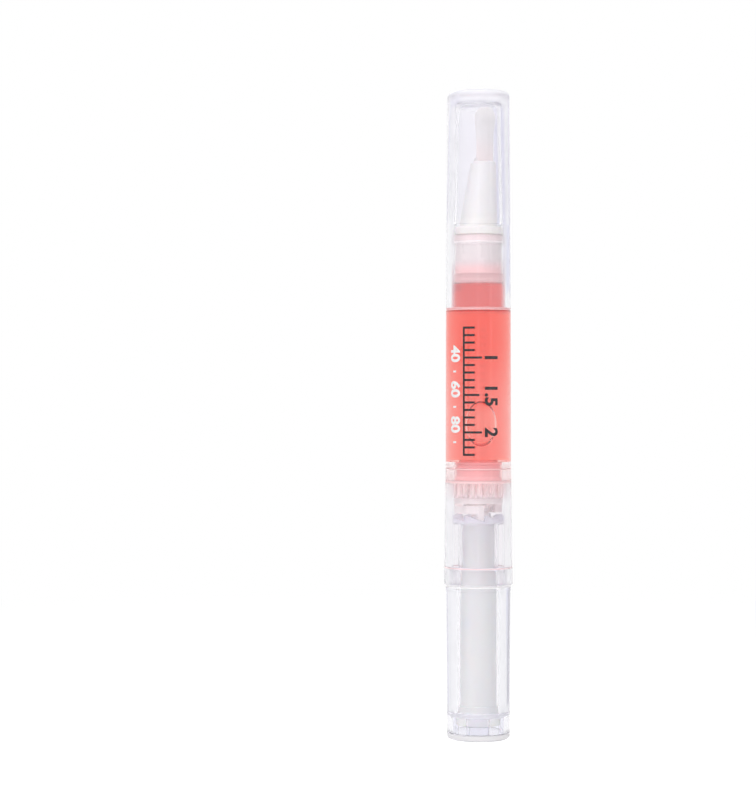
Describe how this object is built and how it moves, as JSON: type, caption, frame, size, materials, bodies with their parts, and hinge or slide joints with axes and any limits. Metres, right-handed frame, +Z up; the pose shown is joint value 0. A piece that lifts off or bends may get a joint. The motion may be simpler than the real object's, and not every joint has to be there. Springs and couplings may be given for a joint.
{
  "type": "twist-up brush pen",
  "caption": "Slim clear twist-up pen that feeds coloured oil to a soft brush: pull-off cap, see-through barrel with piston, and a turning end with a ratchet and screw.",
  "frame": {"origin": "middle of the flat base, with the pen standing on its turning end", "axes": "+Z up along the pen towards the cap, -Y towards the viewer of the reference view, +X to the viewer's right"},
  "size_m": [0.0134, 0.0134, 0.126],
  "materials": {
    "cap_plastic": "clear, glossy, faint lavender tint",
    "barrel_plastic": "clear, glossy",
    "knob_plastic": "clear, glossy, faint cool tint",
    "clear_nut": "clear, glossy",
    "frosted_plastic": "natural translucent, satin",
    "milky_plastic": "milky white, satin",
    "white_plastic": "white, satin",
    "rod_plastic": "white, satin",
    "oil": "clear coral liquid",
    "bristle": "soft white nylon strands"
  },
  "bodies": {
    "barrel": {"barrel": "barrel_plastic", "neck_plug": "frosted_plastic", "brush_nozzle": "white_plastic", "feed_tube": "frosted_plastic", "brush_tuft": "bristle", "cuticle_oil": "oil", "guide_nut": "clear_nut", "click_ring": "frosted_plastic"},
    "cap": {"cap_shell": "cap_plastic"},
    "knob": {"knob": "knob_plastic", "drive_tube": "milky_plastic", "end_plug": "knob_plastic"},
    "rod": {"screw_rod": "rod_plastic"},
    "piston": {"piston": "frosted_plastic"}
  },
  "joints": [
    {"name": "cap_pull", "type": "slide", "parent": "barrel", "child": "cap", "axis": [0, 0, 1], "range_m": [0, 0.045]},
    {"name": "knob_turn", "type": "hinge", "parent": "barrel", "child": "knob", "pos_m": [0, 0, 0], "axis": [0, 0, 1], "range_deg": [0, 6120], "deforming": ["click_ring"]},
    {"name": "rod_feed", "type": "slide", "parent": "knob", "child": "rod", "axis": [0, 0, 1], "range_m": [0, 0.0341]},
    {"name": "piston_feed", "type": "slide", "parent": "barrel", "child": "piston", "axis": [0, 0, 1], "range_m": [0, 0.0341], "deforming": ["cuticle_oil"]}
  ],
  "couplings": [
    {"joint": "rod_feed", "follows": "knob_turn", "m_per_rad": 0.00031831},
    {"joint": "piston_feed", "follows": "knob_turn", "m_per_rad": 0.00031831}
  ]
}
